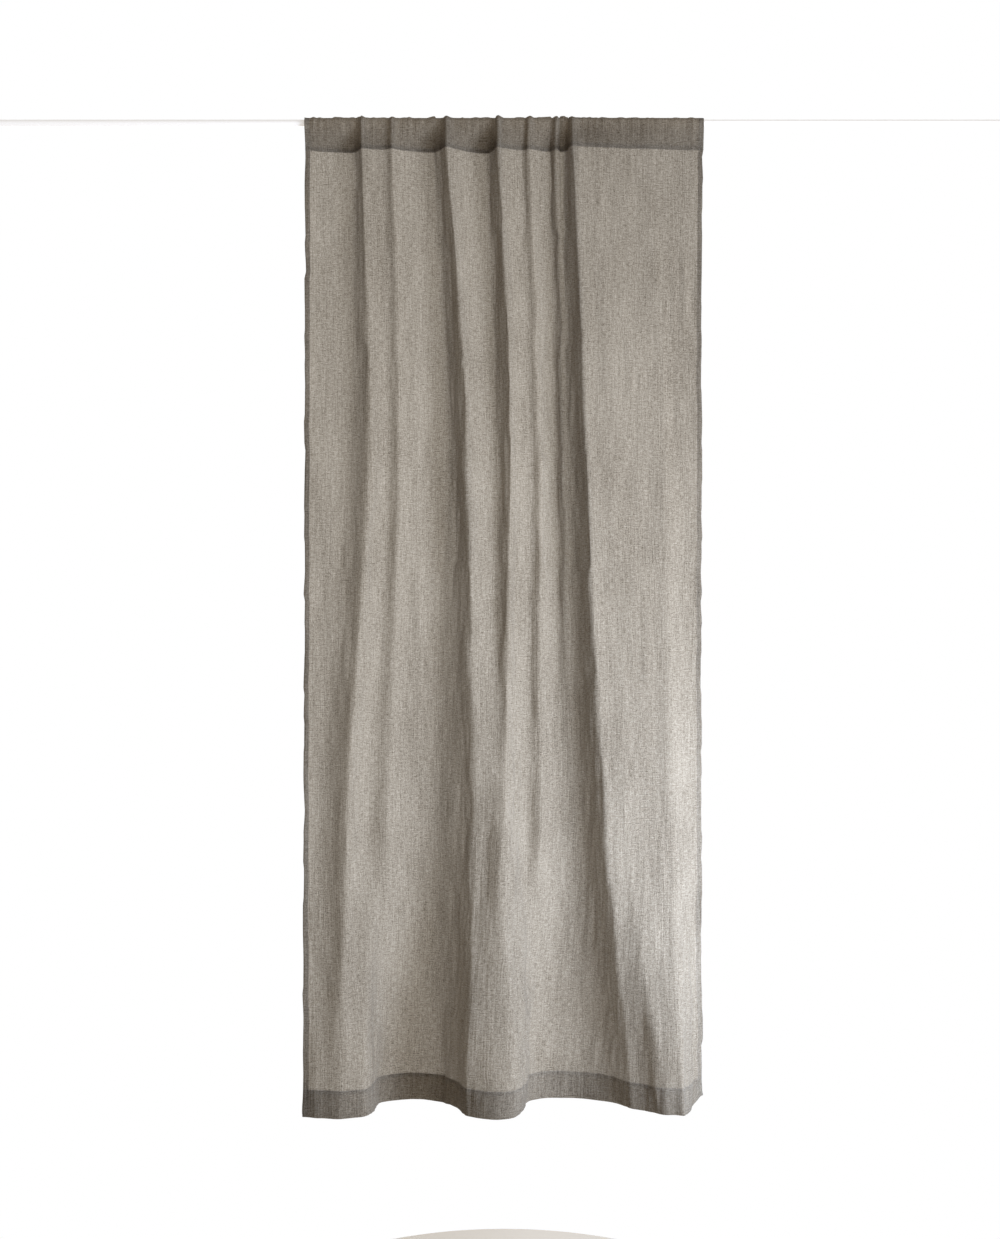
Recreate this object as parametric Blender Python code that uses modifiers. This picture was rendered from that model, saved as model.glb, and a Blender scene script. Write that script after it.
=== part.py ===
"""Rod-pocket curtain panel, gathered on a rod and hanging in five soft folds.

The origin is on the rod's axis, at the middle of the hung panel. +X runs along the rod to the
leading edge, +Z is up, and -Y is the side that faces the room. Everything is in metres.

The real panel is one cloth. Here each fold is its own group of stiff pieces on its own empty, so that
the panel can be drawn along the rod: front folds lie before the plane y = 0 and back folds behind it,
so neighbours slide past each other. In the pocket, soft gathers fill the space between the stiff parts.
"""

import math

import bmesh
import bpy

# The panel.
HUNG_WIDTH = 1.0  # along the rod, once gathered
DROP_LENGTH = 2.5  # from the top of the pocket to the bottom fold
CLOTH = 0.0006  # thickness of the linen
POCKET_DEPTH = 0.080  # from the top of the pocket to its seam
BOTTOM_HEM = 0.070
SIDE_HEM = 0.015
SEAM_INSET = 0.002  # from a turned edge to its row of stitches
THREAD = 0.0005  # diameter

# The rod that the pocket takes, which isn't part of the panel.
ROD_DIAMETER = 0.017
ROD_EASE = 0.0038  # space between the rod and the pocket

# The folds.
FOLD_COUNT = 5
FOLD_REACH_TOP = 0.008  # how far a fold stands out at the pocket's seam
FOLD_REACH_BOTTOM = 0.085  # and at the bottom
REACH_GROWTH = 0.75  # below 1, the folds open out quickly under the pocket
DRAWN_SHARE = 0.45  # share of the hung width by which the panel can be drawn aside

# The care label, sewn into the outer side hem.
LABEL_WIDTH = 0.030
LABEL_LENGTH = 0.045
LABEL_THICKNESS = 0.0003
LABEL_HEIGHT = 0.065  # from the bottom of the panel to the top of the label, so the bottom hem hides it

# Clearances.
LAYER_GAP = 0.0004  # between two layers of cloth that touch
BUTT_GAP = 0.0004  # between two pieces that meet end to end
SLIDE_GAP = 0.0002  # from a piece to the plane that parts front folds from back folds
STOP_GAP = 0.002  # left between stiff parts of the pocket when the panel is fully drawn

# What follows from them.
LAYER_PITCH = CLOTH + LAYER_GAP
FOLD_WIDTH = HUNG_WIDTH / FOLD_COUNT
LEFT = -HUNG_WIDTH / 2
RIGHT = HUNG_WIDTH / 2
POCKET_RADIUS = ROD_DIAMETER / 2 + ROD_EASE + CLOTH / 2
TOP = POCKET_RADIUS + CLOTH / 2
SEAM_Z = TOP - POCKET_DEPTH
BOTTOM = TOP - DROP_LENGTH
FOLD_STANDOFF = 1.5 * CLOTH + LAYER_GAP + SLIDE_GAP  # keeps a fold and the hem behind it off y = 0
STIFF_HALF = (FOLD_WIDTH * (1 - DRAWN_SHARE) - STOP_GAP) / 2  # half of a fold's stiff stretch of pocket
END_TRAVEL = DRAWN_SHARE * FOLD_WIDTH / 2  # of the end folds past the side hems
SEAM_THREAD_OFFSET = CLOTH / 2 + LAYER_GAP + THREAD / 2  # from a cloth's middle to a thread on it

# Mesh fineness.
FOLD_STEPS = 8
DROP_STEPS = 6
LEG_STEPS = 3
ARCH_STEPS = 8
POCKET_STEPS = 4
GATHER_STEPS = 4


def clear_scene():
    for old in list(bpy.data.objects):
        bpy.data.objects.remove(old)


def make_material(name, colour, roughness):
    material = bpy.data.materials.new(name)
    material.use_nodes = True
    shader = material.node_tree.nodes["Principled BSDF"]
    shader.inputs["Base Color"].default_value = (*colour, 1.0)
    shader.inputs["Roughness"].default_value = roughness
    shader.inputs["Metallic"].default_value = 0.0
    return material


def make_body(name, x):
    """An empty on the rod's axis, which carries the pieces of one body."""
    body = bpy.data.objects.new(name, None)
    body.location = (x, 0, 0)
    body.empty_display_size = 0.02
    panel.objects.link(body)
    return body


def add_to(body, obj, material):
    """Links an object whose points are placed from the body's origin."""
    obj.data.materials.append(material)
    panel.objects.link(obj)
    obj.parent = body
    return obj


def add_sheet(name, body, material, steps, place, thickness=CLOTH):
    """A grid of cloth, u and v from 0 to 1, put in place by a function and given its thickness."""
    mesh = bpy.data.meshes.new(name)
    grid = bmesh.new()
    bmesh.ops.create_grid(grid, x_segments=steps[0], y_segments=steps[1], size=0.5)
    origin = body.location
    for point in grid.verts:
        x, y, z = place(point.co.x + 0.5, point.co.y + 0.5)
        point.co = (x - origin.x, y - origin.y, z - origin.z)
    grid.to_mesh(mesh)
    grid.free()
    obj = add_to(body, bpy.data.objects.new(name, mesh), material)
    shell = obj.modifiers.new("thickness", "SOLIDIFY")
    shell.thickness = thickness
    shell.offset = 0.0
    shell.use_even_offset = True
    mesh.shade_smooth()
    return obj


def add_thread(name, body, points):
    """A row of stitches as one thread along the points."""
    curve = bpy.data.curves.new(name, "CURVE")
    curve.dimensions = "3D"
    curve.bevel_depth = THREAD / 2
    curve.bevel_resolution = 0
    curve.use_fill_caps = True
    spline = curve.splines.new("POLY")
    spline.points.add(len(points) - 1)
    for spot, (x, y, z) in zip(spline.points, points):
        spot.co = (x - body.location.x, y, z, 1.0)
    return add_to(body, bpy.data.objects.new(name, curve), thread_material)


def mix(a, b, share):
    return a + (b - a) * share


def smooth(share):
    return share * share * (3 - 2 * share)


def fold_centre(number):
    """The middle of a fold in x. The folds are numbered from 1, at the outer edge."""
    return LEFT + (number - 0.5) * FOLD_WIDTH


def fold_side(number):
    """-1 for a fold that stands out to the front, and 1 for one to the back."""
    return -1 if number % 2 else 1


def fold_reach(z):
    down = (SEAM_Z - z) / (SEAM_Z - BOTTOM)
    return mix(FOLD_REACH_TOP, FOLD_REACH_BOTTOM, max(down, 0.0) ** REACH_GROWTH)


def on_fold(number, u, z, behind=0.0):
    """A point on a fold's arc, u from 0 to 1 across it, moved behind the cloth by that much."""
    side, reach = fold_side(number), fold_reach(z)
    x = fold_centre(number) + (u - 0.5) * FOLD_WIDTH
    y = side * (FOLD_STANDOFF + reach * math.sin(math.pi * u))
    slope = side * reach * math.pi * math.cos(math.pi * u) / FOLD_WIDTH
    length = math.hypot(slope, 1.0)
    return x - behind * slope / length, y + behind / length, z


def on_pocket(x, v):
    """A point on the pocket's cloth: v runs from the back layer's seam, over the rod, to the front's."""
    arch = math.pi * POCKET_RADIUS
    leg = -SEAM_Z
    along = v * (arch + 2 * leg)
    seam_y = -(FOLD_REACH_TOP + FOLD_STANDOFF) * math.sin(math.pi * (x - LEFT) / FOLD_WIDTH)
    if along <= leg:
        down = 1 - along / leg
        y = mix(POCKET_RADIUS, seam_y + LAYER_PITCH, smooth(down))
        return x, y, (SEAM_Z + BUTT_GAP / 2) * down
    if along >= leg + arch:
        down = (along - leg - arch) / leg
        return x, mix(-POCKET_RADIUS, seam_y, smooth(down)), (SEAM_Z + BUTT_GAP / 2) * down
    turn = (along - leg) / POCKET_RADIUS
    return x, POCKET_RADIUS * math.cos(turn), POCKET_RADIUS * math.sin(turn)


def pocket_rows():
    """The v values of the pocket's grid: up a leg from its seam and row of stitches, and round the arch."""
    arch = math.pi * POCKET_RADIUS
    leg = -SEAM_Z
    up = [0] + [mix(SEAM_INSET, leg, step / LEG_STEPS) for step in range(LEG_STEPS)]
    over = [leg + arch * step / ARCH_STEPS for step in range(ARCH_STEPS)]
    whole = arch + 2 * leg
    return [along / whole for along in up + over + [leg + arch] + [whole - d for d in reversed(up)]]


def add_pocket(name, body, low, high, steps):
    """The folded-over top of the cloth from x = low to high, open at both ends for the rod."""
    rows = pocket_rows()

    def place(u, v):
        return on_pocket(mix(low, high, u), rows[round(v * (len(rows) - 1))])

    return add_sheet(name, body, linen, (steps, len(rows) - 1), place)


def add_pocket_seam(name, body, low, high):
    """Stitches through the pocket's two layers, just above its seam, on the front."""
    points = []
    for step in range(POCKET_STEPS + 1):
        x, y, z = on_pocket(mix(low, high, step / POCKET_STEPS), pocket_rows()[-2])
        points.append((x, y - SEAM_THREAD_OFFSET, z))
    return add_thread(name, body, points)


def drop_heights():
    """The rows of a fold's cloth: one at the top of the hem, then even steps up to the pocket's seam."""
    low, high = BOTTOM + BOTTOM_HEM, SEAM_Z - BUTT_GAP / 2
    return [BOTTOM] + [mix(low, high, step / DROP_STEPS) for step in range(DROP_STEPS + 1)]


def add_fold(number, body):
    """One fold: the single cloth down to the bottom, the hem turned up behind it, and its stitches."""
    rows = drop_heights()

    def drop(u, v):
        return on_fold(number, u, rows[round(v * (len(rows) - 1))])

    def hem(u, v):
        return on_fold(number, u, rows[round(v)], behind=LAYER_PITCH)

    add_sheet(f"drop_{number}", body, linen, (FOLD_STEPS, len(rows) - 1), drop)
    add_sheet(f"bottom_hem_{number}", body, linen, (FOLD_STEPS, 1), hem)
    seam_z = BOTTOM + BOTTOM_HEM - SEAM_INSET
    stitches = [
        on_fold(number, column / FOLD_STEPS, seam_z, behind=-SEAM_THREAD_OFFSET)
        for column in range(1, FOLD_STEPS)
    ]
    add_thread(f"bottom_hem_seam_{number}", body, stitches)


def stiff_span(number):
    """From where to where a fold's stretch of pocket is stiff."""
    centre = fold_centre(number)
    room = SIDE_HEM + END_TRAVEL + STOP_GAP
    return max(centre - STIFF_HALF, LEFT + room), min(centre + STIFF_HALF, RIGHT - room)


def add_side_hem(name, body, edge, inwards):
    """The cloth's edge turned over twice: three layers, from the pocket's seam to the bottom.

    edge is the x of the panel's edge, and inwards is 1 or -1, from there towards the panel.
    """
    deep, near = SIDE_HEM - CLOTH, CLOTH / 2
    layers = [
        (deep, 0),
        (near, 0),
        (near, 1),
        (deep, 1),
        (deep, 2),
        (near + CLOTH + LAYER_GAP, 2),
    ]

    def place(u, v):
        across, layer = layers[round(u * (len(layers) - 1))]
        y = FOLD_STANDOFF + layer * LAYER_PITCH
        return edge + inwards * across, y, mix(BOTTOM, SEAM_Z - BUTT_GAP / 2, v)

    add_sheet(f"{name}_side_hem", body, linen, (len(layers) - 1, 1), place)
    x = edge + inwards * (deep - SEAM_INSET)
    y = FOLD_STANDOFF - CLOTH / 2 - SLIDE_GAP - THREAD / 2
    ends = (BOTTOM + SEAM_INSET, SEAM_Z - SEAM_INSET)
    add_thread(f"{name}_side_seam", body, [(x, y, z) for z in ends])


def add_care_label(body):
    """A folded satin strip with nothing printed on it, hanging behind the outer side hem."""
    y = FOLD_STANDOFF + 3 * LAYER_PITCH
    low = LEFT + SIDE_HEM / 2
    pitch = LABEL_THICKNESS + LAYER_GAP
    leaves = [(0, 0), (1, 0), (1, 1), (0, 1)]

    def place(u, v):
        across, leaf = leaves[round(u * (len(leaves) - 1))]
        z = BOTTOM + LABEL_HEIGHT - v * LABEL_LENGTH
        return low + across * LABEL_WIDTH, y + leaf * pitch, z

    add_sheet("care_label", body, satin, (len(leaves) - 1, 1), place, LABEL_THICKNESS)


def add_ends():
    """The two edges of the panel, each with its side hem and its own short stretch of pocket."""
    outer = make_body("outer_edge", LEFT)
    add_side_hem("outer", outer, LEFT, 1)
    add_pocket("pocket_outer_end", outer, LEFT, LEFT + SIDE_HEM, 1)
    add_care_label(outer)
    leading = make_body("leading_edge", RIGHT)
    add_side_hem("leading", leading, RIGHT, -1)
    add_pocket("pocket_leading_end", leading, RIGHT - SIDE_HEM, RIGHT, 1)
    return outer, leading


def add_folds():
    bodies = []
    for number in range(1, FOLD_COUNT + 1):
        body = make_body(f"fold_{number}", fold_centre(number))
        add_fold(number, body)
        low, high = stiff_span(number)
        add_pocket(f"pocket_{number}", body, low, high, POCKET_STEPS)
        add_pocket_seam(f"pocket_seam_{number}", body, low, high)
        bodies.append(body)
    return bodies


def add_gathers(outer, folds):
    """The soft stretches of pocket, each between two stiff ones, which crumple as the panel is drawn."""
    spans = [(LEFT, LEFT + SIDE_HEM)]
    spans += [stiff_span(number) for number in range(1, FOLD_COUNT + 1)]
    spans += [(RIGHT - SIDE_HEM, RIGHT)]
    for number, body in enumerate([outer, *folds]):
        low = spans[number][1] + BUTT_GAP
        high = spans[number + 1][0] - BUTT_GAP
        add_pocket(f"gather_{number + 1}", body, low, high, GATHER_STEPS)


clear_scene()
panel = bpy.data.collections.new("curtain_panel")
bpy.context.scene.collection.children.link(panel)
linen = make_material("linen", (0.30, 0.265, 0.225), 0.95)
thread_material = make_material("polyester_thread", (0.16, 0.14, 0.12), 0.8)
satin = make_material("label_satin", (0.85, 0.84, 0.80), 0.5)
outer_edge, leading_edge = add_ends()
add_gathers(outer_edge, add_folds())
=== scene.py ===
"""The looks of a linen rod-pocket curtain panel, gathered on a rod and hanging in soft folds.

It is built around the panel's plain solids, in the order in which the panel is made and hung: the
cloth, its stitches, its care label, and then the studio. Everything is in metres. The origin is on the
rod's axis at the middle of the panel, +X runs to the leading edge, and -Y faces the room.
"""

import math

import bpy
import numpy as np
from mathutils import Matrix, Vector


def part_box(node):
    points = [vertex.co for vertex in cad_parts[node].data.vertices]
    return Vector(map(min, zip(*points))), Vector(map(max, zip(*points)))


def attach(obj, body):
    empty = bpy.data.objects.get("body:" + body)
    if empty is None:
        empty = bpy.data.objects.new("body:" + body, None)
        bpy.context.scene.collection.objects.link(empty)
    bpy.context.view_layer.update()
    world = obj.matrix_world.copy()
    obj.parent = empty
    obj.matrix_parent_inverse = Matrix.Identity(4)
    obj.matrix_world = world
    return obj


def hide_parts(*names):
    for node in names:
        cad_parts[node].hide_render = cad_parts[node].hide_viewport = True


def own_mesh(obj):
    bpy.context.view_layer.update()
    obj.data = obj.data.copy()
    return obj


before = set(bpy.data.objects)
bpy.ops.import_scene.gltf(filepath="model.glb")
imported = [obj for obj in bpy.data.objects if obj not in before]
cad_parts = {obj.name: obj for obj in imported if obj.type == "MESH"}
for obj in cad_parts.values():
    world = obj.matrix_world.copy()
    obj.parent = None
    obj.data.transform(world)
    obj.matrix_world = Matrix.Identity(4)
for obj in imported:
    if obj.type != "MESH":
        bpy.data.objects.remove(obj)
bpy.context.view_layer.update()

# ---------------------------------------------------------------------------------------------------
# The cloth is one piece of plain-woven linen. Its sides are turned over and stitched, its bottom is
# turned up into a deep hem, and its top goes over the rod and is stitched down behind to make the
# pocket. Pushed together on the rod, it creases at the top, and the creases open into wide folds.

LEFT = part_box("outer_side_hem")[0].x
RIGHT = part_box("leading_side_hem")[1].x
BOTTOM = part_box("drop_1")[0].z
SEAM_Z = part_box("drop_1")[1].z
POCKET_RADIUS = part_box("pocket_1")[1].z - 0.0004  # of the cloth where it goes round the rod
HEM_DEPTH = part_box("bottom_hem_1")[1].z - BOTTOM
SIDE_HEM = 0.015
TUCKED = 0.010  # the raw edge turned in under a hem
STITCH_INSET = 0.002  # from the edge that a seam holds down
FLAT_WIDTH = 1.40  # hemmed, before it is pushed together
LAYER = 0.0010  # from one layer of the cloth to the next
COLUMN = 0.0040  # spacing of the mesh across the cloth
ROW = 0.018  # and down it

# Where the cloth turns, from the outer edge to the leading edge, at four depths below the rod: at the
# pocket's seam, a third of the way down, two thirds, and at the bottom. Each turn gives its place
# across the panel, and how far it lies behind the rod's plane, negative before it. Where the cloth
# comes forward within a few centimetres, it creases.
DEPTHS = (-SEAM_Z, 0.80, 1.75, -BOTTOM)
TURNS = [
    # the outer edge, almost flat until it swings forward at the bottom
    ((LEFT - 0.005,) * 4, (0.0, -0.01, -0.02, -0.065)),
    # the first crease, which drifts out to the edge as it opens
    ((-0.385, -0.39, -0.465, -0.48), (0.015, 0.0, -0.015, -0.075)),
    ((-0.365, -0.34, -0.395, -0.415), (-0.015, -0.03, -0.045, -0.085)),
    # the second crease, which fades and then opens into the first back fold
    ((-0.305, -0.29, -0.34, -0.335), (-0.005, 0.0, -0.01, -0.07)),
    ((-0.285, -0.27, -0.295, -0.325), (-0.015, -0.01, -0.015, 0.055)),
    ((-0.255, -0.22, -0.225, -0.25), (0.0, 0.005, 0.01, 0.085)),
    # the third crease, the strongest on the outer side
    ((-0.18, -0.145, -0.18, -0.165), (0.015, 0.03, 0.015, 0.065)),
    ((-0.15, -0.10, -0.085, -0.11), (-0.025, -0.03, -0.04, -0.07)),
    # the fourth crease, and the ridge that leans back from it
    ((-0.05, -0.02, -0.015, -0.015), (0.02, 0.005, -0.05, -0.09)),
    ((-0.02, 0.01, 0.005, 0.015), (-0.025, -0.035, -0.05, -0.085)),
    # the fifth crease, the foot of that ridge
    ((0.045, 0.065, 0.055, 0.04), (0.0, 0.0, 0.005, -0.07)),
    ((0.06, 0.085, 0.085, 0.05), (-0.01, -0.01, -0.005, 0.06)),
    # the double tuck, the deepest of all, which opens into the widest back fold
    ((0.115, 0.13, 0.14, 0.12), (0.01, 0.03, 0.015, 0.085)),
    ((0.13, 0.14, 0.165, 0.19), (-0.01, 0.01, 0.015, 0.08)),
    ((0.145, 0.155, 0.195, 0.24), (0.01, 0.01, 0.01, 0.065)),
    ((0.165, 0.19, 0.24, 0.32), (-0.03, -0.045, -0.045, 0.0)),
    # the broad stretch up to the leading edge, which swings back at the bottom corner
    ((0.24, 0.25, 0.30, 0.40), (-0.02, -0.03, -0.035, -0.055)),
    ((0.36, 0.40, 0.42, 0.45), (-0.01, -0.015, -0.02, -0.085)),
    ((RIGHT,) * 4, (0.0, 0.0, 0.01, -0.005)),
]
MOST_FORWARD = 0.090  # that a fold stands before the rod's plane
FORWARD_EASE = 0.012  # over which it comes to that
LINE_SAMPLES = 2001
MOST_STRETCH = 1.35  # of the folds' reach, where their lines alone hold too little cloth


def through(heights, values, at):
    """A smooth curve through the values at those heights that never overshoots them, read at one height."""
    spans = np.diff(heights)
    rates = np.diff(values) / spans
    agree = rates[:-1] * rates[1:] > 0
    inner = np.where(agree, np.sign(rates[1:]) * np.minimum(np.abs(rates[:-1]), np.abs(rates[1:])), 0)
    slopes = np.concatenate([rates[:1], inner, rates[-1:]])
    i = int(np.clip(np.searchsorted(heights, at) - 1, 0, len(heights) - 2))
    t = min(max((at - heights[i]) / spans[i], 0), 1)
    return (
        (2 * t**3 - 3 * t**2 + 1) * values[i]
        + (t**3 - 2 * t**2 + t) * spans[i] * slopes[i]
        + (3 * t**2 - 2 * t**3) * values[i + 1]
        + (t**3 - t**2) * spans[i] * slopes[i + 1]
    )


def smooth(t):
    t = np.clip(t, 0, 1)
    return t * t * (3 - 2 * t)


def blurred(values, reach):
    """The values along a line, each evened with its neighbours within about reach samples."""
    half = int(3 * reach) + 1
    weights = np.exp(-0.5 * (np.arange(-half, half + 1) / reach) ** 2)
    longer = np.pad(values, half, mode="reflect", reflect_type="odd")
    return np.convolve(longer, weights / weights.sum(), mode="valid")


def ripple(across, down, width, length, seed):
    """Smooth random waves from -1 to 1, about width across the cloth and length down it."""
    u, v = across / width + 50, down / length + 50
    i, j = np.floor(u).astype(int), np.floor(v).astype(int)
    values = np.random.default_rng(seed).uniform(-1, 1, (i.max() + 2, j.max() + 2))
    a, b = smooth(u - i), smooth(v - j)
    near = values[i, j] * (1 - a) + values[i + 1, j] * a
    far = values[i, j + 1] * (1 - a) + values[i + 1, j + 1] * a
    return near * (1 - b) + far * b


def held_back(y):
    """Keeps the folds in the room that the panel takes, and eases them towards its front."""
    eased_from = FORWARD_EASE - MOST_FORWARD
    return np.where(y < eased_from, eased_from - FORWARD_EASE * np.tanh((eased_from - y) / FORWARD_EASE), y)


def section(depth):
    """The cloth's line at a depth below the rod: x, y, and the flat distance from the outer edge.

    The folds reach further out until the line is as long as the cloth is wide, or until MOST_STRETCH.
    Where it is still too short, the cloth's width is shared out along it as if the cloth had shrunk.
    """
    xs = np.array([through(DEPTHS, places, depth) for places, _ in TURNS])
    ys = np.array([through(DEPTHS, reaches, depth) for _, reaches in TURNS])
    wandering = smooth(depth / 0.4) * np.sin(math.pi * (xs - xs[0]) / (xs[-1] - xs[0]))
    xs += 0.004 * wandering * ripple(xs + 1, np.full_like(xs, depth), 0.11, 0.26, 11)
    ys += 0.005 * wandering * ripple(xs + 1, np.full_like(xs, depth), 0.08, 0.30, 12)
    x = np.linspace(xs[0], xs[-1], LINE_SAMPLES)
    i = np.clip(np.searchsorted(xs, x) - 1, 0, len(xs) - 2)
    t = (x - xs[i]) / (xs[i + 1] - xs[i])
    rise = ys[i + 1] - ys[i]
    eased = np.where(rise > 0, 1 - (1 - t) ** 2, t**2)  # sharp where it comes forward, round behind
    y = ys[i] + rise * (0.3 * t + 0.7 * eased)
    rounding = 0.0015 + 0.0035 * smooth(depth / 2)
    y = blurred(y, rounding * (LINE_SAMPLES - 1))
    shoulder = int((0.004 + 0.005 * smooth(depth / 0.5)) * (LINE_SAMPLES - 1))  # each crease starts gently
    weights = np.exp(-np.arange(3 * shoulder) / shoulder)
    longer = np.pad(y, (shoulder, len(weights) - 1 - shoulder), mode="edge")
    y = np.convolve(longer, weights[::-1] / weights.sum(), mode="valid")
    low, high = 0.7, MOST_STRETCH
    for _ in range(20):
        stretch = (low + high) / 2
        steps = np.hypot(np.diff(x), np.diff(held_back(y * stretch)))
        low, high = (stretch, high) if steps.sum() < FLAT_WIDTH else (low, stretch)
    along = np.concatenate([[0], np.cumsum(steps)])
    return x, held_back(y * stretch), along * FLAT_WIDTH / along[-1]


# A coarse copy of the hanging cloth, held along its seam, settles under its own weight. Its rest shape
# is the flat cloth, so it buckles a little where the folds' line is shorter than the cloth is wide. The
# real sheet then takes those sideways moves, evened out and capped.
SETTLE_FRAMES = 18
MOST_SETTLING = 0.011
coarse_depths = np.linspace(-SEAM_Z, -BOTTOM, 100)
coarse_flat = np.linspace(0, FLAT_WIDTH, 118)


def settled():
    """How far each point of the coarse copy moves sideways, in x and y."""
    start = np.empty((len(coarse_depths), len(coarse_flat), 3))
    for row, depth in enumerate(coarse_depths):
        x, y, along = section(depth)
        start[row, :, 0] = np.interp(coarse_flat, along, x)
        start[row, :, 1] = np.interp(coarse_flat, along, y)
        start[row, :, 2] = -depth
    order = np.arange(start[..., 0].size).reshape(start.shape[:2])
    faces = np.stack([order[1:, :-1], order[1:, 1:], order[:-1, 1:], order[:-1, :-1]], axis=-1).reshape(-1, 4)
    mesh = bpy.data.meshes.new("settling")
    mesh.from_pydata(start.reshape(-1, 3), [], faces.tolist())
    copy = bpy.data.objects.new("settling", mesh)
    bpy.context.scene.collection.objects.link(copy)
    copy.shape_key_add(name="hung")
    unhung = copy.shape_key_add(name="flat")
    lying = start.copy()
    lying[..., 0] = coarse_flat - FLAT_WIDTH / 2
    lying[..., 1] = 0
    unhung.data.foreach_set("co", lying.ravel())
    copy.vertex_groups.new(name="seam").add(order[0].tolist(), 1.0, "REPLACE")
    modifier = copy.modifiers.new("cloth", "CLOTH")
    feel = modifier.settings
    feel.vertex_group_mass = "seam"
    feel.rest_shape_key = unhung
    feel.quality = 8
    feel.mass = 0.02
    feel.air_damping = 8
    feel.tension_stiffness = feel.compression_stiffness = 12
    feel.shear_stiffness = 4
    feel.bending_stiffness = 0.12
    modifier.collision_settings.use_collision = False
    scene = bpy.context.scene
    for frame_number in range(1, SETTLE_FRAMES + 1):
        scene.frame_set(frame_number)
    shown = copy.evaluated_get(bpy.context.evaluated_depsgraph_get())
    end = np.empty(start.size, np.float32)
    shown.data.vertices.foreach_get("co", end)
    scene.frame_set(1)
    bpy.data.objects.remove(copy)
    moves = (end.reshape(start.shape) - start)[..., :2]
    for axis, reach in ((0, 0.8), (1, 1.4)):  # evens out buckles no wider than the copy's own columns
        moves = np.apply_along_axis(blurred, axis, moves, reach)
    far = np.linalg.norm(moves, axis=2, keepdims=True)
    return moves / np.maximum(far, 1e-9) * MOST_SETTLING * np.tanh(far / MOST_SETTLING)


settling = settled()


def settling_at(across, depth):
    """The sideways move of the sheet's points along one row."""
    row = np.clip(np.interp(depth, coarse_depths, np.arange(len(coarse_depths))), 0, len(coarse_depths) - 1)
    low = min(int(row), len(coarse_depths) - 2)
    near = settling[low] * (1 - (row - low)) + settling[low + 1] * (row - low)
    return [np.interp(across, coarse_flat, near[:, way]) for way in (0, 1)]


# The cloth's columns, from its outer raw edge: the flat distance from the finished edge, and which of
# the side hem's two layers the column lies in, 0 in front.
turned = [0.0015, 0.0070, SIDE_HEM - STITCH_INSET]
hem_columns = [(SIDE_HEM, 1)] + [(s, 1) for s in reversed(turned)] + [(0, 0.5)] + [(s, 0) for s in turned]
face_count = round((FLAT_WIDTH - 2 * SIDE_HEM) / COLUMN)
face_columns = [(s, 0) for s in np.linspace(SIDE_HEM, FLAT_WIDTH - SIDE_HEM, face_count)]
far_columns = [(FLAT_WIDTH - s, layer) for s, layer in reversed(hem_columns)]
flat_s, side_layer = np.array(hem_columns + face_columns + far_columns).T
in_hem = 1 - smooth((np.minimum(flat_s, FLAT_WIDTH - flat_s) - SIDE_HEM) / 0.012)

# Its rows, from the hem's raw edge to the pocket's: the height, and how far the row lies from the
# front layer, 0, through the tucked one, 1, to the back one, 2.
hem_top = BOTTOM + HEM_DEPTH
hem_stitch = hem_top - STITCH_INSET
in_front_of_hem = np.linspace(BOTTOM + LAYER, hem_stitch, 6)
above_hem = np.linspace(hem_stitch, SEAM_Z, round((SEAM_Z - hem_stitch) / ROW))[1:]
rows = [(hem_top - TUCKED, 1), (hem_stitch, 1), (hem_top, 1.5)]
back_hem_row = len(rows)
rows += [(z, 2) for z in reversed(in_front_of_hem)]
rows += [(BOTTOM + LAYER / 4, 1.6), (BOTTOM, 1), (BOTTOM + LAYER / 4, 0.4)]
rows += [(z, 0) for z in [*in_front_of_hem, *above_hem]]
front_hem_row = len(rows) - len(above_hem) - 1


def stack(layer, side):
    """How many layers lie before this one: the hem's layer is 0 to 2, and the side hem's 0 or 1."""
    corner = np.interp(layer, (0, 1, 2), (0, 2, 5)) + side * np.interp(layer, (0, 1, 2), (1, 1, -1))
    return layer * (1 - in_hem) + corner * in_hem


def face_row(z, layer):
    """A row of the hanging cloth's points."""
    x, y, along = section(-z)
    at = [np.interp(flat_s, along, values) for values in (x, y)]
    slope = np.interp(flat_s, along, np.gradient(y, x))
    behind_x, behind_y = -slope / np.hypot(1, slope), 1 / np.hypot(1, slope)
    depth = np.full_like(flat_s, -z)
    # Crumples, from the finest to the broadest: most where the cloth is steep, and near the far corner.
    patches = smooth(ripple(flat_s, depth, 0.12, 0.35, 1) + 0.2)
    corner = smooth((flat_s - 0.72 * FLAT_WIDTH) / 0.3) * smooth((-z - 1.3) / 0.6)
    crumple = 0.2 + 0.5 * patches + 0.8 * smooth(np.abs(slope) - 0.4) + 0.5 * corner
    moved = 0.0013 * crumple * ripple(flat_s, depth, 0.0085, 0.09, 2)
    moved += 0.0021 * crumple * ripple(flat_s, depth, 0.019, 0.16, 3)
    moved += 0.0034 * crumple * ripple(flat_s, depth, 0.045, 0.28, 13)
    moved += 0.0040 * ripple(flat_s, depth, 0.10, 0.55, 4) * smooth(depth)
    moved += LAYER * stack(layer, side_layer)
    from_edge = np.minimum(flat_s, FLAT_WIDTH - flat_s)
    # The side edges pucker along their stitches, the leading corner lifts, and the bottom hangs unevenly.
    scallop = 0.0022 * ripple(flat_s * 0 + np.sign(flat_s - 0.5), depth, 1.0, 0.075, 5)
    x = at[0] + behind_x * moved + scallop * np.exp(-from_edge / 0.03)
    y = at[1] + behind_y * moved
    lift = 0.036 * smooth(1 - (FLAT_WIDTH - flat_s) / 0.05) * smooth(1 - (z - BOTTOM) / 0.12)
    sag = 0.003 * ripple(flat_s, depth, 0.11, 0.6, 6) * smooth(1 - (z - BOTTOM) / 0.3)
    moved_x, moved_y = settling_at(flat_s, -z)
    return np.column_stack([x + moved_x, y + moved_y, z + lift + sag])


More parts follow.
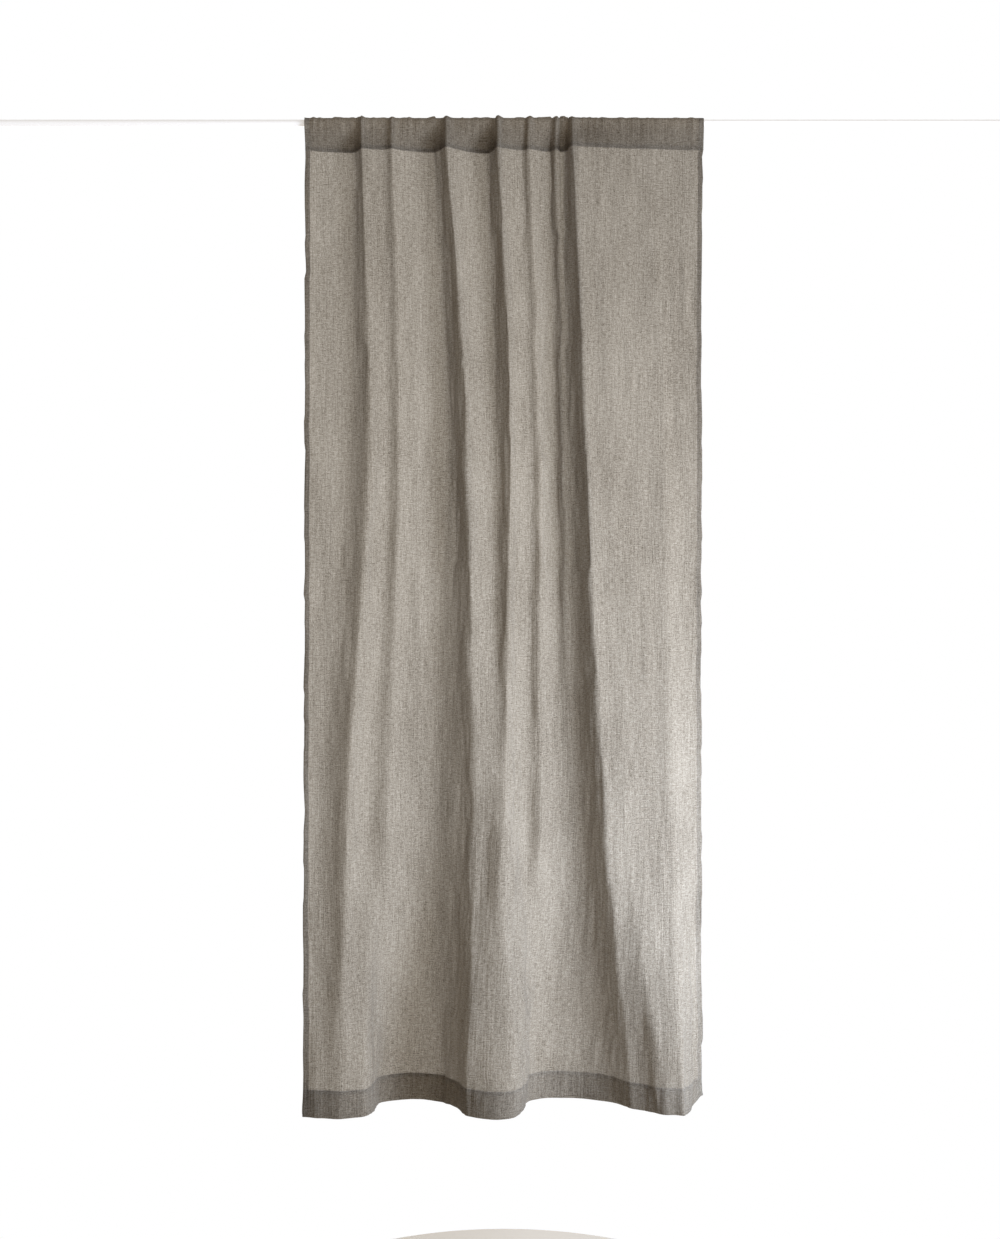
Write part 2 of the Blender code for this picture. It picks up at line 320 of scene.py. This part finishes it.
grid = [face_row(z, layer) for z, layer in rows]
front_seam_row = len(grid) - 1

# The pocket goes on from the last of those rows: up its front, over the rod, down its back, and in.
seam_row = grid[-1]
seam_y = seam_row[:, 1] - LAYER * side_layer
between_hems = slice(len(hem_columns), -len(hem_columns))
evened = np.interp(flat_s, flat_s[between_hems], blurred(seam_y[between_hems], 5))
tuck = seam_y - evened  # where the cloth tucks back, and before that, negative, where it pushes forward
pucker = 0.0011 * ripple(flat_s, flat_s * 0, 0.009, 1, 7) + 0.0022 * ripple(flat_s, flat_s * 0, 0.024, 1, 8)
front_reach = POCKET_RADIUS + 1.3 * np.maximum(0, -tuck) + 0.12 * np.maximum(0, -seam_y) + np.abs(pucker)
back_reach = POCKET_RADIUS + 1.3 * np.maximum(0, tuck) + 0.12 * np.maximum(0, seam_y) + np.abs(pucker)
top_reach = POCKET_RADIUS + 0.6 * np.maximum(0, np.abs(tuck) - 0.002) + 1.2 * np.maximum(0, pucker)
inside = LAYER * side_layer * np.sign(2 * (flat_s > 0) - 1)
for down in np.linspace(1, 0, 9)[1:]:
    share = smooth(down)
    y = (-front_reach + inside) * (1 - share) + seam_row[:, 1] * share
    y += 0.0010 * ripple(flat_s, flat_s * 0 + down, 0.012, 0.6, 9) * (1 - share)
    grid.append(np.column_stack([seam_row[:, 0], y, np.full_like(y, SEAM_Z * down)]))
for turn in np.linspace(0, math.pi, 15)[1:]:
    side_reach = front_reach if turn < math.pi / 2 else back_reach
    y = -math.cos(turn) * (side_reach - inside)
    z = math.sin(turn) * (top_reach - inside)
    grid.append(np.column_stack([seam_row[:, 0], y, z]))
back_end = seam_row[:, 1] - LAYER * side_layer + LAYER * stack(2, side_layer)
tuck_end = seam_row[:, 1] - LAYER * side_layer + LAYER * stack(1, side_layer)
for down in np.linspace(0, 1, 9)[1:]:
    share = smooth(down)
    y = (back_reach - inside) * (1 - share) + back_end * share
    grid.append(np.column_stack([seam_row[:, 0], y, np.full_like(y, SEAM_Z * down)]))
back_seam_row = len(grid) - 1
pocket_end = np.full_like(y, SEAM_Z - STITCH_INSET)
grid.append(np.column_stack([seam_row[:, 0], (back_end + tuck_end) / 2, pocket_end]))
grid.append(np.column_stack([seam_row[:, 0], tuck_end, np.full_like(y, SEAM_Z)]))
grid.append(np.column_stack([seam_row[:, 0], tuck_end, np.full_like(y, SEAM_Z + TUCKED)]))

points = np.array(grid)
row_count, column_count = points.shape[:2]
corner = np.arange(row_count * column_count).reshape(row_count, column_count)
quads = np.stack([corner[:-1, :-1], corner[:-1, 1:], corner[1:, 1:], corner[1:, :-1]], axis=-1)
quads = quads.reshape(-1, 4)
cloth_mesh = bpy.data.meshes.new("linen_cloth")
cloth_mesh.from_pydata(points.reshape(-1, 3), [], quads.tolist())
cloth_mesh.shade_smooth()

# The cloth's own flat coordinates, in metres from its outer raw edge and from its hem's raw edge.
flat_u = np.concatenate([[0], np.cumsum(np.maximum(np.abs(np.diff(flat_s)), 0.0008))])
middle_column = column_count // 2
flat_v = np.concatenate([[0], np.cumsum(np.linalg.norm(np.diff(points[:, middle_column], axis=0), axis=1))])
flat = np.stack(np.meshgrid(flat_u, flat_v), axis=-1).reshape(-1, 2)
cloth_mesh.uv_layers.new(name="flat_cloth").data.foreach_set("uv", flat[quads.ravel()].ravel())
cloth = bpy.data.objects.new("linen_cloth", cloth_mesh)
bpy.context.scene.collection.objects.link(cloth)


def linear(colour):
    """An sRGB hex colour as linear red, green, blue and alpha."""
    parts = [int(colour[i : i + 2], 16) / 255 for i in (1, 3, 5)]
    return (*[p / 12.92 if p <= 0.04045 else ((p + 0.055) / 1.055) ** 2.4 for p in parts], 1)


def add_node(owner, kind, links=(), **settings):
    """A node in a material, a world or a node group, with its settings and inputs set by name.

    Its links are pairs of its input's name and the output that feeds it.
    """
    tree = getattr(owner, "node_tree", owner)
    made = tree.nodes.new(kind)
    for name, value in settings.items():
        if hasattr(made, name):
            setattr(made, name, value)
        else:
            made.inputs[name.replace("_", " ")].default_value = value
    for name, source in links:
        tree.links.new(source, made.inputs[name])
    return made


# Washed flax linen, plain weave, from yarns of mixed brown-grey and pale fibres. The eye gets a melange
# of short streaks along both yarns, no gloss, and light that shows through one layer but hardly
# through two. The real yarns are 0.7 mm apart, too fine to show, so streaks of 3 mm stand for them.
linen = bpy.data.materials.new("washed_flax_linen")
linen.use_nodes = True
linen.node_tree.nodes.clear()
flat_place = add_node(linen, "ShaderNodeUVMap", uv_map="flat_cloth").outputs["UV"]


def streaks(material, width, length, detail=2.0):
    """A noise whose grains are width across the cloth and length down it, in metres."""
    place = add_node(material, "ShaderNodeVectorMath", [(0, flat_place)], operation="MULTIPLY")
    place.inputs[1].default_value = (1 / width, 1 / length, 1)
    made = add_node(
        material, "ShaderNodeTexNoise", [("Vector", place.outputs[0])], Scale=1.0, Detail=detail
    )
    return made.outputs["Fac"]


def added(material, first, second, share):
    """first plus share times second, as one value."""
    made = add_node(material, "ShaderNodeMath", [(0, second), (2, first)], operation="MULTIPLY_ADD")
    made.inputs[1].default_value = share
    return made.outputs[0]


grain = streaks(linen, 0.0030, 0.0030, 1.0)
warp = streaks(linen, 0.0030, 0.014, 1.0)
weft = streaks(linen, 0.016, 0.0030, 1.0)
slub = streaks(linen, 0.004, 0.09, 0.0)
patch = streaks(linen, 0.16, 0.30)
melange = grain
for yarns, share in ((warp, 0.5), (weft, 0.65), (slub, 0.3), (patch, 0.35)):
    melange = added(linen, melange, yarns, share)
tone = add_node(linen, "ShaderNodeMapRange", [("Value", melange)], From_Min=0.95, From_Max=1.85)
front_colour = add_node(linen, "ShaderNodeValToRGB", [("Fac", tone.outputs[0])])
front_colour.color_ramp.elements[0].color = linear("#605341")
front_colour.color_ramp.elements[1].color = linear("#C6B7A0")
through_colour = add_node(linen, "ShaderNodeValToRGB", [("Fac", tone.outputs[0])])
through_colour.color_ramp.elements[0].color = linear("#6A5F4E")
through_colour.color_ramp.elements[1].color = linear("#C8BEAE")
crinkle = added(linen, streaks(linen, 0.009, 0.09), streaks(linen, 0.0045, 0.05), 0.5)
relief = added(linen, crinkle, added(linen, warp, weft, 1.0), 0.12)
bump = add_node(linen, "ShaderNodeBump", [("Height", relief)], Strength=0.6, Distance=0.0022)
fibres = add_node(
    linen,
    "ShaderNodeBsdfPrincipled",
    [("Base Color", front_colour.outputs[0]), ("Normal", bump.outputs[0])],
    Roughness=0.92,
    Specular_IOR_Level=0.2,
    Sheen_Weight=0.15,
    Sheen_Roughness=0.5,
)
glow = add_node(
    linen,
    "ShaderNodeBsdfTranslucent",
    [("Color", through_colour.outputs[0]), ("Normal", bump.outputs[0])],
)
both = add_node(linen, "ShaderNodeMixShader", [(1, fibres.outputs[0]), (2, glow.outputs[0])], Fac=0.5)
add_node(linen, "ShaderNodeOutputMaterial", [("Surface", both.outputs[0])])
cloth_mesh.materials.append(linen)

# The panel is drawn along the rod towards its outer edge, and all that is sewn to it goes with it.
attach(cloth, "outer_edge")
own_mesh(cloth)
of_cloth = ("drop", "bottom_hem", "pocket", "gather")
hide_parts(*[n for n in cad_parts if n.startswith(of_cloth) and "seam" not in n])
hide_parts("outer_side_hem", "leading_side_hem")

# ---------------------------------------------------------------------------------------------------
# The seams are lockstitched in linen-coloured polyester thread, 4 mm to a stitch. They show on both
# faces: under the pocket, along the top of the bottom hem, and down both side hems.

STITCH_PITCH = 0.004
STITCH_LENGTH = 0.0031
THREAD_RADIUS = 0.0003

# Spun polyester thread: matt, a little smoother and paler than the cloth, so that a seam just shows.
thread = bpy.data.materials.new("spun_polyester_thread")
thread.use_nodes = True
thread_look = thread.node_tree.nodes["Principled BSDF"]
thread_look.inputs["Base Color"].default_value = linear("#8F8475")
thread_look.inputs["Roughness"].default_value = 0.65
thread_look.inputs["Sheen Weight"].default_value = 0.1

# One stitch on every pitch of a seam's line, turned along it.
sewing = bpy.data.node_groups.new("lockstitches", "GeometryNodeTree")
for name, kind, way in (
    ("Seam Line", "NodeSocketGeometry", "INPUT"),
    ("Pitch", "NodeSocketFloat", "INPUT"),
    ("Length", "NodeSocketFloat", "INPUT"),
    ("Radius", "NodeSocketFloat", "INPUT"),
    ("Unevenness", "NodeSocketFloat", "INPUT"),
    ("Seed", "NodeSocketInt", "INPUT"),
    ("Thread", "NodeSocketMaterial", "INPUT"),
    ("Stitches", "NodeSocketGeometry", "OUTPUT"),
):
    sewing.interface.new_socket(name, in_out=way, socket_type=kind)

given = add_node(sewing, "NodeGroupInput").outputs
curve = add_node(sewing, "GeometryNodeMeshToCurve", [("Mesh", given["Seam Line"])])
even = add_node(
    sewing,
    "GeometryNodeResampleCurve",
    [("Curve", curve.outputs[0]), ("Length", given["Pitch"])],
    mode="LENGTH",
)
along_seam = add_node(sewing, "GeometryNodeInputTangent")
turned_along = add_node(
    sewing, "FunctionNodeAlignEulerToVector", [("Vector", along_seam.outputs[0])], axis="Z"
)
ball = add_node(sewing, "GeometryNodeMeshUVSphere", Segments=6, Rings=4, Radius=1.0)
half = add_node(sewing, "ShaderNodeMath", [(0, given["Length"])], operation="MULTIPLY")
half.inputs[1].default_value = 0.5
uneven = add_node(sewing, "FunctionNodeRandomValue", [("Seed", given["Seed"])], data_type="FLOAT")
uneven.inputs[2].default_value = -1.0
uneven.inputs[3].default_value = 1.0
spread = add_node(
    sewing, "ShaderNodeMath", [(0, uneven.outputs[1]), (1, given["Unevenness"])], operation="MULTIPLY"
)
varied = add_node(
    sewing,
    "ShaderNodeMath",
    [(0, half.outputs[0]), (1, spread.outputs[0]), (2, half.outputs[0])],
    operation="MULTIPLY_ADD",
)
shape = add_node(
    sewing,
    "ShaderNodeCombineXYZ",
    [("X", given["Radius"]), ("Y", given["Radius"]), ("Z", varied.outputs[0])],
)
placed = add_node(
    sewing,
    "GeometryNodeInstanceOnPoints",
    [
        ("Points", even.outputs[0]),
        ("Instance", ball.outputs[0]),
        ("Rotation", turned_along.outputs[0]),
        ("Scale", shape.outputs[0]),
    ],
)
real = add_node(sewing, "GeometryNodeRealizeInstances", [("Geometry", placed.outputs[0])])
threaded = add_node(
    sewing, "GeometryNodeSetMaterial", [("Geometry", real.outputs[0]), ("Material", given["Thread"])]
)
add_node(sewing, "NodeGroupOutput", [("Stitches", threaded.outputs[0])])

across = np.gradient(points, axis=1)
upward = np.gradient(points, axis=0)
outward = np.cross(across, upward)
outward /= np.maximum(np.linalg.norm(outward, axis=2, keepdims=True), 1e-9)


def sew(name, lines, replaced):
    """The stitches along these lines of the cloth's points, standing half out of its face."""
    corners, edges = [], []
    for line in lines:
        first = len(corners)
        raised = (points + 0.6 * THREAD_RADIUS * outward)[line]
        corners += [tuple(corner) for corner in raised]
        edges += [(i, i + 1) for i in range(first, len(corners) - 1)]
    line_mesh = bpy.data.meshes.new(name)
    line_mesh.from_pydata(corners, edges, [])
    line_object = bpy.data.objects.new(name, line_mesh)
    bpy.context.scene.collection.objects.link(line_object)
    modifier = line_object.modifiers.new("lockstitches", "NODES")
    modifier.node_group = sewing
    socket = {item.name: item.identifier for item in sewing.interface.items_tree}
    modifier[socket["Pitch"]] = STITCH_PITCH
    modifier[socket["Length"]] = STITCH_LENGTH
    modifier[socket["Radius"]] = THREAD_RADIUS
    modifier[socket["Unevenness"]] = 0.12
    modifier[socket["Seed"]] = 5
    modifier[socket["Thread"]] = thread
    seen_by = line_object.evaluated_get(bpy.context.evaluated_depsgraph_get())
    line_object.data = bpy.data.meshes.new_from_object(seen_by)
    line_object.modifiers.clear()
    line_object.data.shade_smooth()
    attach(line_object, "outer_edge")
    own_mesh(line_object)
    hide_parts(*replaced)
    return line_object


everywhere = slice(None)
outer_hem_column = len(hem_columns) - 1  # the stitch line in front, and then behind
leading_hem_column = column_count - len(hem_columns)
up_the_side = slice(front_hem_row, front_seam_row + 1)
seams = [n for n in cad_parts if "_seam" in n]
pocket_stitches = sew(
    "pocket_stitches",
    [(front_seam_row, everywhere), (back_seam_row, everywhere)],
    [n for n in seams if n.startswith("pocket")],
)
hem_stitches = sew(
    "bottom_hem_stitches",
    [(front_hem_row, everywhere), (back_hem_row, everywhere)],
    [n for n in seams if n.startswith("bottom_hem")],
)
outer_stitches = sew(
    "outer_side_stitches",
    [(up_the_side, outer_hem_column), (up_the_side, 1)],
    ["outer_side_seam"],
)
leading_stitches = sew(
    "leading_side_stitches",
    [(up_the_side, leading_hem_column), (up_the_side, column_count - 2)],
    ["leading_side_seam"],
)

# ---------------------------------------------------------------------------------------------------
# The care label is a blank strip of white satin tape, folded double. Its ends are caught in the outer
# side hem level with the bottom hem, which hides it from the room, and it hangs free behind the cloth.

label_low, label_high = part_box("care_label")
LABEL_REACH = label_high.x - label_low.x
LABEL_STEPS = 10
label_rows = np.linspace(label_low.z, label_high.z, 8)
HEM_CORNER = 0.0056  # how thick the two hems are where they cross
lowest_row = front_hem_row - len(in_front_of_hem) + 1
front_z = points[lowest_row : front_seam_row + 1, outer_hem_column, 2]
strip = []
for z in label_rows:
    row = lowest_row + int(np.argmin(np.abs(front_z - z)))
    caught = points[row, outer_hem_column] - HEM_CORNER * outward[row, outer_hem_column]
    away = -outward[row, outer_hem_column + 4]
    line = []
    for face in (0, 1):
        steps = np.linspace(0, 1, LABEL_STEPS)
        for t in steps if face == 0 else reversed(steps[:-1]):
            gap = 0.0012 * (1 - 2 * face) * math.sin(math.pi * min(t, 0.999)) ** 0.5
            curl = 0.006 * t**2 + 0.002 * t * math.sin(9 * (z - label_low.z) / 0.03)
            line.append((caught[0] + LABEL_REACH * t, caught[1] + (curl + gap) * away[1], z))
    strip.append(line)
label_points = np.array(strip)
high, wide = label_points.shape[:2]
order = np.arange(high * wide).reshape(high, wide)
label_quads = np.stack([order[:-1, :-1], order[:-1, 1:], order[1:, 1:], order[1:, :-1]], axis=-1)
label_quads = label_quads.reshape(-1, 4)
label_mesh = bpy.data.meshes.new("care_label_tape")
label_mesh.from_pydata(label_points.reshape(-1, 3), [], label_quads.tolist())
label_mesh.shade_smooth()
label = bpy.data.objects.new("care_label_tape", label_mesh)
bpy.context.scene.collection.objects.link(label)
# Satin tape: plain white, smoother than the linen beside it, and thin enough for light to come through.
satin = bpy.data.materials.new("white_satin_tape")
satin.use_nodes = True
satin.node_tree.nodes.clear()
weave = add_node(
    satin, "ShaderNodeBsdfPrincipled", **{"Base Color": linear("#EDEAE4"), "Roughness": 0.38}
)
shine_through = add_node(satin, "ShaderNodeBsdfTranslucent", Color=linear("#EDEAE4"))
tape = add_node(satin, "ShaderNodeMixShader", [(1, weave.outputs[0]), (2, shine_through.outputs[0])], Fac=0.7)
add_node(satin, "ShaderNodeOutputMaterial", [("Surface", tape.outputs[0])])
label_mesh.materials.append(satin)
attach(label, "outer_edge")
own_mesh(label)
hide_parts("care_label")

# ---------------------------------------------------------------------------------------------------
# The studio: a slim cream rod for the panel to hang on, whose enamel is given a painted glow, a pale
# round floor well below, of which the camera takes in the far edge, a white surround, a soft panel of
# light behind the cloth, and two soft lamps before it on the right.

ROD_RADIUS = 0.0085
rod_mesh = bpy.data.curves.new("studio_rod", "CURVE")
rod_mesh.dimensions = "3D"
rod_mesh.bevel_depth = ROD_RADIUS
rod_mesh.bevel_resolution = 6
rod_mesh.use_fill_caps = True
rod_line = rod_mesh.splines.new("POLY")
rod_line.points.add(1)
rod_line.points[0].co = (-1.6, 0, 0, 1)
rod_line.points[1].co = (1.6, 0, 0, 1)
rod = bpy.data.objects.new("studio_rod", rod_mesh)
bpy.context.scene.collection.objects.link(rod)
rod_paint_with_glow = bpy.data.materials.new("cream_enamel_painted_glow")
rod_paint_with_glow.use_nodes = True
rod_paint_with_glow.node_tree.nodes["Principled BSDF"].inputs["Base Color"].default_value = linear("#EFE9E0")
rod_paint_with_glow.node_tree.nodes["Principled BSDF"].inputs["Roughness"].default_value = 0.4
# The enamel also glows by itself. This is a painted glow, not a lamp, and it keeps the rod almost white
# against the white surround.
rod_paint_with_glow.node_tree.nodes["Principled BSDF"].inputs["Emission Color"].default_value = linear("#EFE9E0")
rod_paint_with_glow.node_tree.nodes["Principled BSDF"].inputs["Emission Strength"].default_value = 0.55
rod_mesh.materials.append(rod_paint_with_glow)

bpy.ops.mesh.primitive_circle_add(vertices=96, radius=0.75, fill_type="NGON", location=(0, 0, BOTTOM - 0.6))
floor = bpy.context.object
floor.name = "studio_floor"
paint = bpy.data.materials.new("pale_floor_paint")
paint.use_nodes = True
paint.node_tree.nodes["Principled BSDF"].inputs["Base Color"].default_value = linear("#F1E4CF")
paint.node_tree.nodes["Principled BSDF"].inputs["Roughness"].default_value = 0.8
floor.data.materials.append(paint)

scene = bpy.context.scene
# Where the surround is bright: which way, how far round it reaches, as a cosine, how strongly, and
# its colour. The cloth is lit through from behind, and softly from the right in front.
SOFT_SIDES = [
    ((-0.45, 0.89, 0.0), 0.1, 0.62, (0.97, 1.0, 1.05, 1)),
    ((0.78, -0.60, -0.17), 0.1, 0.95, (0.86, 0.97, 1.18, 1)),
]
scene.view_settings.view_transform = "Standard"
world = bpy.data.worlds.new("white_surround")
world.use_nodes = True
scene.world = world
tree = world.node_tree
tree.nodes.clear()
direction = add_node(world, "ShaderNodeTexCoord").outputs["Generated"]
lit = add_node(world, "ShaderNodeBackground", Color=(1.3, 0.95, 0.7, 1), Strength=0.05).outputs[0]
for side, reach, strength, colour in SOFT_SIDES:
    towards = add_node(world, "ShaderNodeVectorMath", [(0, direction)], operation="DOT_PRODUCT")
    towards.inputs[1].default_value = side
    lobe = add_node(
        world,
        "ShaderNodeMapRange",
        [("Value", towards.outputs["Value"])],
        interpolation_type="SMOOTHSTEP",
        From_Min=reach,
        From_Max=1.0,
        To_Max=strength,
    )
    glow = add_node(world, "ShaderNodeBackground", [("Strength", lobe.outputs[0])], Color=colour)
    lit = add_node(world, "ShaderNodeAddShader", [(0, lit), (1, glow.outputs[0])]).outputs[0]
seen = add_node(world, "ShaderNodeBackground", Color=(1, 1, 1, 1), Strength=1.0)
path = add_node(world, "ShaderNodeLightPath")
which = add_node(
    world, "ShaderNodeMixShader", [(0, path.outputs["Is Camera Ray"]), (1, lit), (2, seen.outputs[0])]
)
add_node(world, "ShaderNodeOutputWorld", [("Surface", which.outputs[0])])


def add_light(name, place, target, size, power, colour):
    light = bpy.data.lights.new(name, "AREA")
    light.shape = "DISK"
    light.size = size
    light.energy = power
    light.color = colour
    lamp = bpy.data.objects.new(name, light)
    lamp.location = place
    lamp.rotation_euler = (Vector(target) - Vector(place)).to_track_quat("-Z", "Y").to_euler()
    lamp.visible_camera = False
    scene.collection.objects.link(lamp)


add_light("low_key", (1.02, -0.75, -2.0), (0.3, 0, -1.95), 0.6, 23, (0.80, 0.97, 1.32))
add_light("side_key", (1.3, -0.9, -0.95), (0.35, 0, -1.0), 0.6, 15, (0.86, 0.97, 1.20))
add_light("back_panel", (-0.95, 2.2, -0.85), (0, 0, -1.0), 1.8, 45, (0.97, 1.0, 1.05))

EYE_DISTANCE = 3.9
SEEN_HEIGHT = 3.128  # of the panel's plane that the camera takes in
camera_data = bpy.data.cameras.new("camera")
camera_data.lens = camera_data.sensor_width * EYE_DISTANCE / SEEN_HEIGHT
camera = bpy.data.objects.new("camera", camera_data)
camera.location = (-0.012, -EYE_DISTANCE, -1.253)
camera.rotation_euler = (math.pi / 2, 0, 0)
scene.collection.objects.link(camera)
scene.camera = camera
